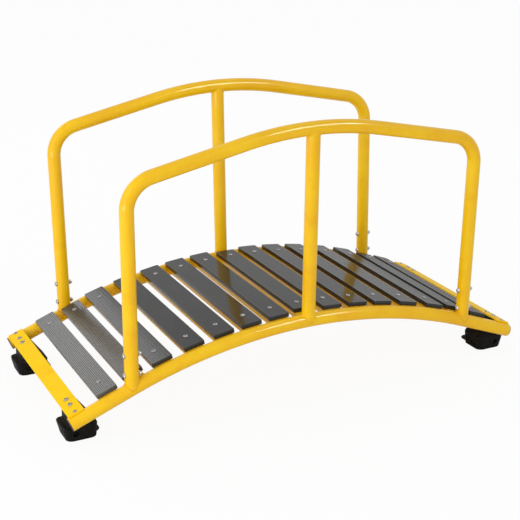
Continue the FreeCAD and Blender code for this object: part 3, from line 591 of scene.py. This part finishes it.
class ARCH_OT_rails(bpy.types.Operator):
    """Two bent side rails, tubes with a bore"""
    bl_idname = "arch.rails"
    bl_label = "Rails"

    def execute(self, context):
        s = sizes()
        for side, sign in SIDES.items():
            bm = bmesh.new()
            y = sign * s.spacing / 2
            start = on_deck(-rail_end(s), y)
            bend_start = on_deck(-s.deck_radius * s.deck_slope, y)
            bend_end = on_deck(s.deck_radius * s.deck_slope, y)
            stop = on_deck(rail_end(s), y)
            first = bend_start.translation - start.translation
            last = stop.translation - bend_end.translation
            centre = Vector((0, y, rail_crown(s) - s.deck_radius))
            moves = [(first,), (centre, (0, 1, 0), 2 * s.deck_slope, RAIL_STEPS), (last,)]
            tube(bm, start @ Matrix.Rotation(pi / 2, 4, "Y"), s.tube / 2, s.wall, moves)
            piece(bm, "rail_tube_" + side, finish(powder_coat), ["rail_" + side])
        return {"FINISHED"}


class ARCH_OT_hoops(bpy.types.Operator):
    """Two handrail hoops with rounded corners, and the middle posts under them"""
    bl_idname = "arch.hoops"
    bl_label = "Handrail hoops"

    def execute(self, context):
        s = sizes()
        top = handrail_height(s)
        slope = s.handrail_slope
        radius = s.tube / 2
        sink = 0.25 * radius
        knee_x = s.post_reach - s.corner
        bend_x = s.handrail_radius * sin(slope)
        bend_z = top - s.handrail_radius * (1 - cos(slope))
        tangent_x = knee_x + s.corner * sin(slope)
        tangent_z = bend_z - (tangent_x - bend_x) * tan(slope)
        knee_z = tangent_z - s.corner * cos(slope)
        for side, sign in SIDES.items():
            bm = bmesh.new()
            start = Matrix.Translation((-s.post_reach, 0, sink))
            up = Vector((0, 0, knee_z - sink))
            along = Vector((tangent_x - bend_x, 0, bend_z - tangent_z))
            back = Vector((along.x, 0, -along.z))
            corner_turn = pi / 2 - slope
            moves = [(up,), ((-knee_x, 0, knee_z), (0, 1, 0), corner_turn, BEND_STEPS), (along,),
                     ((0, 0, top - s.handrail_radius), (0, 1, 0), 2 * slope, BEND_STEPS), (back,),
                     ((knee_x, 0, knee_z), (0, 1, 0), corner_turn, BEND_STEPS), (-up,)]
            tube(bm, start, radius, s.wall, moves)
            bmesh.ops.transform(bm, matrix=in_hoop(sign), verts=bm.verts)
            piece(bm, "handrail_tube_" + side, finish(powder_coat),
                  ["handrail_" + side])
            bm = bmesh.new()
            foot = post_drop(s) / cos(s.splay)
            lift = Vector((0, 0, top - foot - 2 * sink))
            tube(bm, Matrix.Translation((0, 0, foot + sink)), radius, s.wall, [(lift,)])
            bmesh.ops.transform(bm, matrix=in_hoop(sign), verts=bm.verts)
            piece(bm, "middle_post_tube_" + side, finish(powder_coat),
                  ["middle_post_" + side])
        return {"FINISHED"}


def saddle_bead(bm, place, slope=0.0, way=1):
    """Rippled weld bead round a post that stands on a tube, or with way -1 ends under one.

    It is slim at the sides of the tube and stays within the tube's width.
    """
    s = sizes()
    radius = s.tube / 2
    section = Matrix.Translation((radius + 0.1 * s.bead, 0, 0)) @ Matrix.Rotation(pi / 2, 4, "X")
    ring = bmesh.ops.create_circle(bm, radius=s.bead, segments=BEAD_STEPS, matrix=section)["verts"]
    edges = list({edge for vert in ring for edge in vert.link_edges})
    before = set(bm.verts) - set(ring)
    bmesh.ops.spin(bm, geom=ring + edges, cent=(0, 0, 0), axis=(0, 0, 1), angle=FULL_TURN,
                   steps=2 * RIPPLES, use_merge=True, use_duplicate=False)
    made = [vert for vert in bm.verts if vert not in before]
    slimmest, widest = 0.12, 0.998 * radius
    for vert in made:
        turn = atan2(vert.co.y, vert.co.x)
        reach = sqrt(vert.co.x ** 2 + vert.co.y ** 2)
        ripple = 1 + RIPPLE_SHARE * sin(RIPPLES * turn)
        scale = ripple * (slimmest + (1 - slimmest) * abs(cos(turn)))
        out = radius + (reach - radius) * scale
        side = min(widest, abs(out * sin(turn)))
        saddle = sqrt(radius ** 2 - side ** 2) / cos(slope) - radius * cos(turn) * tan(slope)
        vert.co = (out * cos(turn), copysign(side, turn), way * (saddle + vert.co.z * scale))
    bmesh.ops.transform(bm, matrix=place, verts=made)


class ARCH_OT_welds(bpy.types.Operator):
    """Weld beads at the feet of the posts, the tops of the middle posts and the end plates"""
    bl_idname = "arch.welds"
    bl_label = "Welds"

    def execute(self, context):
        s = sizes()
        slope = asin(s.post_reach / s.deck_radius)
        foot = post_drop(s) / cos(s.splay)
        for side, sign in SIDES.items():
            bm = bmesh.new()
            for way in ENDS.values():
                saddle_bead(bm, in_hoop(sign, way * s.post_reach), way * slope)
            piece(bm, "post_welds_" + side, finish(weld_coat_painted_shade))
            bm = bmesh.new()
            saddle_bead(bm, in_hoop(sign, up=foot))
            saddle_bead(bm, in_hoop(sign, up=handrail_height(s)), way=-1)
            piece(bm, "middle_post_welds_" + side, finish(powder_coat))
        for end, way in ENDS.items():
            bm = bmesh.new()
            for sign in SIDES.values():
                for across in (-1, 1):
                    x = across * (s.plate_width / 2 - s.bead)
                    place = on_deck(way * plate_run(s), sign * s.spacing / 2, plate_seat(s))
                    self.run_of_weld(bm, place @ Matrix.Translation((x, -sign * s.tube / 4, 0)))
            piece(bm, "plate_welds_" + end, finish(weld_coat_painted_shade))
        return {"FINISHED"}

    def run_of_weld(self, bm, place):
        """Short rounded bead across the arch, between a plate and a rail."""
        s = sizes()
        made = bmesh.ops.create_uvsphere(bm, u_segments=16, v_segments=24, radius=s.bead)["verts"]
        stretch = Matrix.Rotation(pi / 2, 4, "X") @ Matrix.Diagonal((1, 1, PLATE_BEAD_SHARE, 1))
        bmesh.ops.transform(bm, matrix=place @ stretch, verts=made)


class ARCH_OT_crossbars(bpy.types.Operator):
    """Fifteen rectangular tubes between the rails, one under each tread"""
    bl_idname = "arch.crossbars"
    bl_label = "Crossbars"

    def execute(self, context):
        s = sizes()
        for number, run in enumerate(tread_runs(s), 1):
            bm = bmesh.new()
            half = s.spacing / 2 - s.tube / 4
            for inset in (0.0, s.bar_wall):
                size = (s.bar_width - 2 * inset, 2 * half, s.bar_height - 2 * inset)
                made = bmesh.ops.create_cube(bm, size=1)["verts"]
                bmesh.ops.scale(bm, vec=size, verts=made)
                faces = {face for vert in made for face in vert.link_faces}
                caps = [face for face in faces if abs(face.normal.y) > 0.5]
                bmesh.ops.delete(bm, geom=caps, context="FACES_ONLY")
                long = [edge for vert in made for edge in vert.link_edges
                        if abs(edge.verts[0].co.y - edge.verts[1].co.y) > half]
                round_off(bm, list(set(long)), max(s.bar_corner - inset, s.bar_wall), 4)
            for way in SIDES.values():
                rim = [edge for edge in bm.edges if edge.is_boundary and edge.verts[0].co.y * way > 0]
                bmesh.ops.bridge_loops(bm, edges=rim)
            middle = s.seat - s.bar_height / 2
            bmesh.ops.transform(bm, matrix=on_deck(run, 0, middle), verts=bm.verts)
            piece(bm, "crossbar_tube_%02d" % number, finish(powder_coat),
                  ["crossbar_%02d" % number])
        return {"FINISHED"}


class ARCH_OT_treads(bpy.types.Operator):
    """Fifteen grooved treads with rounded corners"""
    bl_idname = "arch.treads"
    bl_label = "Treads"

    def execute(self, context):
        s = sizes()
        for number, run in enumerate(tread_runs(s), 1):
            long = s.short_tread if number in SHORT_TREADS else s.tread_length
            bm = bmesh.new()
            self.board(bm, long)
            marks = bm.loops.layers.uv.new("tread")
            for face in bm.faces:
                for loop in face.loops:
                    at = loop.vert.co
                    loop[marks].uv = (at.y + STREAK_SHIFT * number, at.x + at.z)
            bmesh.ops.transform(bm, matrix=on_deck(run, 0, s.seat), verts=bm.verts)
            tread = piece(bm, "tread_%02d" % number, finish(tread_plastic),
                          ["slat_%02d" % number], 40)
            keep_flats_even(tread)
        return {"FINISHED"}

    def board(self, bm, long):
        """Grooved section, drawn along Y, with its corners and edges rounded."""
        s = sizes()
        half, top = s.tread_width / 2, s.tread_thickness
        bed = top - s.groove_depth
        points = [(-half, top), (-half, 0), (half, 0), (half, top)]
        for k in range(s.grooves):
            middle = ((s.grooves - 1) / 2 - k) * s.groove_pitch
            right, left = middle + s.groove_width / 2, middle - s.groove_width / 2
            points += [(right, top), (right, bed), (left, bed), (left, top)]
        section = bm.faces.new([bm.verts.new((x, -long / 2, z)) for x, z in points])
        made = bmesh.ops.extrude_face_region(bm, geom=[section])["geom"]
        bmesh.ops.translate(bm, verts=only(bmesh.types.BMVert, made), vec=(0, long, 0))
        bmesh.ops.recalc_face_normals(bm, faces=bm.faces)
        upright = [edge for edge in bm.edges
                   if abs(edge.verts[0].co.z - edge.verts[1].co.z) > top - CLOSE]
        round_off(bm, upright, s.tread_corner, 4)
        inner = half - s.tread_corner
        lips = [edge for edge in sharp_edges(bm)
                if all(abs(v.co.x) > inner - CLOSE and v.co.z > top - CLOSE for v in edge.verts)]
        round_off(bm, lips, s.tread_lip, 3)
        grooves = [edge for edge in sharp_edges(bm, radians(60))
                   if edge.calc_length() > long / 2 and abs(edge.verts[0].co.x) < inner]
        round_off(bm, grooves, s.groove_lip, 2)


class ARCH_OT_end_plates(bpy.types.Operator):
    """Two flat bars across the rail ends, with softened edges"""
    bl_idname = "arch.end_plates"
    bl_label = "End plates"

    def execute(self, context):
        s = sizes()
        for end, way in ENDS.items():
            bm = bmesh.new()
            made = bmesh.ops.create_cube(bm, size=1)["verts"]
            span = s.spacing + 2 * s.plate_overlap
            bmesh.ops.scale(bm, vec=(s.plate_width, span, s.plate_thickness), verts=made)
            upright = [edge for edge in bm.edges
                       if abs(edge.verts[0].co.z - edge.verts[1].co.z) > CLOSE]
            round_off(bm, upright, s.plate_corner, 3)
            round_off(bm, sharp_edges(bm), s.plate_edge, 3)
            up = plate_seat(s) + s.plate_thickness / 2
            bmesh.ops.transform(bm, matrix=on_deck(way * plate_run(s), 0, up), verts=bm.verts)
            bar = piece(bm, "end_bar_" + end, finish(plate_coat_painted_light), ["end_plate_" + end])
            keep_flats_even(bar)
        return {"FINISHED"}


class ARCH_OT_feet(bpy.types.Operator):
    """Four moulded rubber feet, with the soft edges of a moulding"""
    bl_idname = "arch.feet"
    bl_label = "Feet"

    def execute(self, context):
        for side in SIDES:
            for end in ENDS:
                node = "foot_%s_%s" % (side, end)
                bm = bmesh.new()
                bm.from_mesh(frame["nodes"][node].data)
                foot = piece(bm, "moulded_" + node, finish(foot_rubber), [node], 180)
                skin = foot.modifiers.new("skin", "REMESH")
                skin.mode = "VOXEL"
                skin.voxel_size = sizes().foot_grain
                skin.use_smooth_shade = True
                soften = foot.modifiers.new("soften", "SMOOTH")
                soften.factor = 0.6
                soften.iterations = 7
        return {"FINISHED"}


class ARCH_OT_caps(bpy.types.Operator):
    """Four black end caps in the rails"""
    bl_idname = "arch.caps"
    bl_label = "Rail caps"

    def execute(self, context):
        s = sizes()
        radius, thick = s.tube / 2, s.cap_thickness
        plug = radius - s.wall - s.cap_slack
        inset = 0.05 * thick
        profile = [(0, -s.cap_reach), (plug, -s.cap_reach), (plug, 0), (radius - inset, 0),
                   (radius - inset, 0.4 * thick), (radius - 0.25 * thick, 0.8 * thick),
                   (radius - 0.65 * thick, thick), (0.55 * radius, thick), (0, 0.85 * thick)]
        for side, sign in SIDES.items():
            for end, way in ENDS.items():
                bm = bmesh.new()
                place = on_deck(way * rail_end(s), sign * s.spacing / 2)
                turned(bm, profile, place @ Matrix.Rotation(way * pi / 2, 4, "Y"), TUBE_STEPS)
                piece(bm, "end_cap_%s_%s" % (side, end), finish(cap_plastic),
                      ["rail_cap_%s_%s" % (side, end)])
        return {"FINISHED"}


def domed_bolt(head, dome, shank, reach, socket):
    """Profile of a domed bolt with a hexagon socket, the underside of its head at zero."""
    radius, rim, chamfer = head / 2, 0.3 * dome, 0.0002
    points = [(0, -reach), (shank / 2, -reach), (shank / 2, 0), (radius - chamfer, 0),
              (radius, chamfer), (radius, rim)]
    for k in range(1, 5):
        turn = k * pi / 12
        points.append((radius * cos(turn), rim + (dome - rim) * sin(turn)))
    mouth, bottom = 0.56 * socket, 0.4 * dome
    points += [(mouth, dome), (0.97 * mouth, dome - chamfer, socket), (0.95 * mouth, bottom, socket),
               (0, bottom)]
    return points


def cap_nut(bore, face, flats, waist, dome):
    """Profile of a cap nut: a hexagon up to its waist, and a dome on it."""
    chamfer, draft = 0.0006, 0.0001
    points = [(bore, 0), (face, 0), (face + chamfer, chamfer - draft, flats),
              (face + chamfer + draft, waist - chamfer, flats), (face + draft, waist)]
    for k in range(8):
        turn = k * pi / 16
        points.append((dome * cos(turn), waist + dome * sin(turn)))
    return points + [(0, waist + dome)]


class ARCH_OT_fasteners(bpy.types.Operator):
    """Domed socket bolts, plate screws and cap nuts, with sockets that point all ways"""
    bl_idname = "arch.fasteners"
    bl_label = "Fasteners"

    def execute(self, context):
        s = sizes()
        # The tread and plate fasteners take the darker copy of the zinc.
        steel, worn = finish(zinc_steel), finish(darker_zinc)
        bm = bmesh.new()
        profile = domed_bolt(**BOLTS["tread"])
        for number, run in enumerate(tread_runs(s), 1):
            for sign in SIDES.values():
                y = sign * (s.spacing / 2 - s.tread_bolt_inset)
                twist = Matrix.Rotation(0.7 * number + sign, 4, "Z")
                place = on_deck(run, y, s.seat + s.tread_thickness)
                turned(bm, profile, place @ twist, BOLT_STEPS)
        piece(bm, "tread_bolts", worn, ["slat_bolts"])
        bm = bmesh.new()
        profile = domed_bolt(**BOLTS["foot"])
        top = plate_seat(s) + s.plate_thickness
        for way in ENDS.values():
            for sign in SIDES.values():
                for step in (-1, 1):
                    y = sign * (s.spacing / 2 - s.foot_inset) + step * s.foot_bolt_spacing / 2
                    twist = Matrix.Rotation(0.9 * step + sign, 4, "Z")
                    place = on_deck(way * plate_run(s), y, top)
                    turned(bm, profile, place @ twist, BOLT_STEPS)
        piece(bm, "foot_socket_bolts", worn, ["foot_bolts"])
        bm = bmesh.new()
        profile = domed_bolt(**BOLTS["plate"])
        for way in ENDS.values():
            for sign in SIDES.values():
                y = sign * (s.spacing / 2 - s.plate_screw_inset)
                turned(bm, profile, on_deck(way * plate_run(s), y, top), BOLT_STEPS)
        piece(bm, "plate_socket_screws", worn, ["plate_screws"])
        bolts, nuts = bmesh.new(), bmesh.new()
        profile, nut = domed_bolt(**BOLTS["post"]), cap_nut(**CAP_NUT)
        for sign in SIDES.values():
            for way in ENDS.values():
                for up in (s.bolt_low, s.bolt_high):
                    place = in_hoop(sign, way * s.post_reach, up)
                    for bm, shape, way_out in ((bolts, profile, -1), (nuts, nut, 1)):
                        seat = Matrix.Translation((way_out * s.tube / 2, 0, 0))
                        turn = Matrix.Rotation(way_out * pi / 2, 4, "Y")
                        turned(bm, shape, place @ seat @ turn, BOLT_STEPS)
        piece(bolts, "post_socket_bolts", steel, ["post_bolts"])
        piece(nuts, "post_cap_nuts", steel, ["post_nuts"])
        return {"FINISHED"}


class ARCH_OT_kept_parts(bpy.types.Operator):
    """Finish of every CAD part, for those that stay in sight"""
    bl_idname = "arch.kept_parts"
    bl_label = "Kept parts"

    def execute(self, context):
        slots = {part["node"]: part["material_slot"] for part in frame["record"]["subparts"]}
        for node, obj in frame["nodes"].items():
            for slot in obj.material_slots:
                slot.material = finish(SLOT_FINISH[slots[node]])
        return {"FINISHED"}


# The studio

class ARCH_OT_stage(bpy.types.Operator):
    """Pale floor, soft lamps and the camera"""
    bl_idname = "arch.stage"
    bl_label = "Stage"

    def execute(self, context):
        scene = context.scene
        scene.view_settings.view_transform = "Standard"
        bm = bmesh.new()
        bmesh.ops.create_circle(bm, cap_ends=True, radius=FLOOR_RADIUS, segments=64)
        mesh = bpy.data.meshes.new("studio_floor")
        bm.to_mesh(mesh)
        bm.free()
        floor = bpy.data.objects.new("studio_floor", mesh)
        floor.location.z = -FLOOR_DROP
        scene.collection.objects.link(floor)
        mesh.materials.append(self.floor_finish())
        self.sky(scene)
        for name, settings in LAMPS.items():
            self.lamp(name, *settings)
        view = bpy.data.cameras.new("camera")
        view.lens = CAMERA_LENS
        view.sensor_width = CAMERA_SENSOR
        camera = bpy.data.objects.new("camera", view)
        camera.location = CAMERA_PLACE
        camera.rotation_euler = (pi / 2 - CAMERA_TILT, 0, CAMERA_TURN)
        scene.collection.objects.link(camera)
        scene.camera = camera
        return {"FINISHED"}

    def floor_finish(self):
        """White floor that shows only a faint shadow to the camera."""
        shader = Shader("studio_floor")
        shader.set(Base_Color=(*colours().floor, 1), Roughness=0.9, Specular_IOR_Level=0.0)
        seen = shader.node("ShaderNodeLightPath", {}, {}, "Is Camera Ray")
        glow = shader.node("ShaderNodeEmission", {}, {"Color": (1, 1, 1, 1), "Strength": 1.0})
        painted = Value(shader, shader.surface.outputs[0])
        mixed = shader.node("ShaderNodeMixShader", {}, {0: seen * FLOOR_GLOW, 1: painted, 2: glow})
        output = shader.tree.nodes["Material Output"]
        shader.tree.links.new(mixed.socket, output.inputs["Surface"])
        return shader.material

    def sky(self, scene):
        """Even light, which only the camera sees as plain white."""
        world = bpy.data.worlds.new("studio")
        world.use_nodes = True
        tree = world.node_tree
        back = tree.nodes["Background"]
        back.inputs["Color"].default_value = (1, 1, 1, 1)
        path = tree.nodes.new("ShaderNodeLightPath")
        level = tree.nodes.new("ShaderNodeMapRange")
        level.inputs["To Min"].default_value = SKY_LEVEL
        level.inputs["To Max"].default_value = SKY_SEEN
        tree.links.new(path.outputs["Is Camera Ray"], level.inputs["Value"])
        tree.links.new(level.outputs[0], back.inputs["Strength"])
        scene.world = world

    def lamp(self, name, place, target, wide, high, power):
        """Area lamp that the camera doesn't see. The gloss lamp only makes highlights."""
        data = bpy.data.lights.new(name, "AREA")
        data.shape = "RECTANGLE"
        data.size, data.size_y = wide, high
        data.energy = power
        lamp = bpy.data.objects.new(name, data)
        lamp.location = place
        lamp.visible_camera = False
        lamp.visible_diffuse = name != GLOSS_LAMP
        lamp.rotation_euler = (Vector(target) - Vector(place)).to_track_quat("-Z", "Y").to_euler()
        bpy.context.scene.collection.objects.link(lamp)


PIECES = (ARCH_OT_rails, ARCH_OT_hoops, ARCH_OT_welds, ARCH_OT_crossbars, ARCH_OT_treads,
          ARCH_OT_end_plates, ARCH_OT_feet, ARCH_OT_caps, ARCH_OT_fasteners, ARCH_OT_kept_parts,
          ARCH_OT_stage)


class ARCH_PT_panel(bpy.types.Panel):
    """Sizes, colours and pieces of the climbing arch"""
    bl_idname = "ARCH_PT_panel"
    bl_label = "Climbing Arch"
    bl_space_type = "VIEW_3D"
    bl_region_type = "UI"
    bl_category = "Arch"

    def draw(self, context):
        for group in (context.scene.arch_sizes, context.scene.arch_colours):
            box = self.layout.box()
            for name in group.__annotations__:
                box.prop(group, name)
        for operator in PIECES:
            self.layout.operator(operator.bl_idname)


CLASSES = (ArchSizes, ArchColours, *PIECES, ARCH_PT_panel)


def register():
    for item in CLASSES:
        bpy.utils.register_class(item)
    bpy.types.Scene.arch_sizes = bpy.props.PointerProperty(type=ArchSizes)
    bpy.types.Scene.arch_colours = bpy.props.PointerProperty(type=ArchColours)


def unregister():
    del bpy.types.Scene.arch_colours
    del bpy.types.Scene.arch_sizes
    for item in reversed(CLASSES):
        bpy.utils.unregister_class(item)


def main():
    register()
    for operator in PIECES:
        group, name = operator.bl_idname.split(".")
        getattr(getattr(bpy.ops, group), name)()


if __name__ == "__main__":
    main()
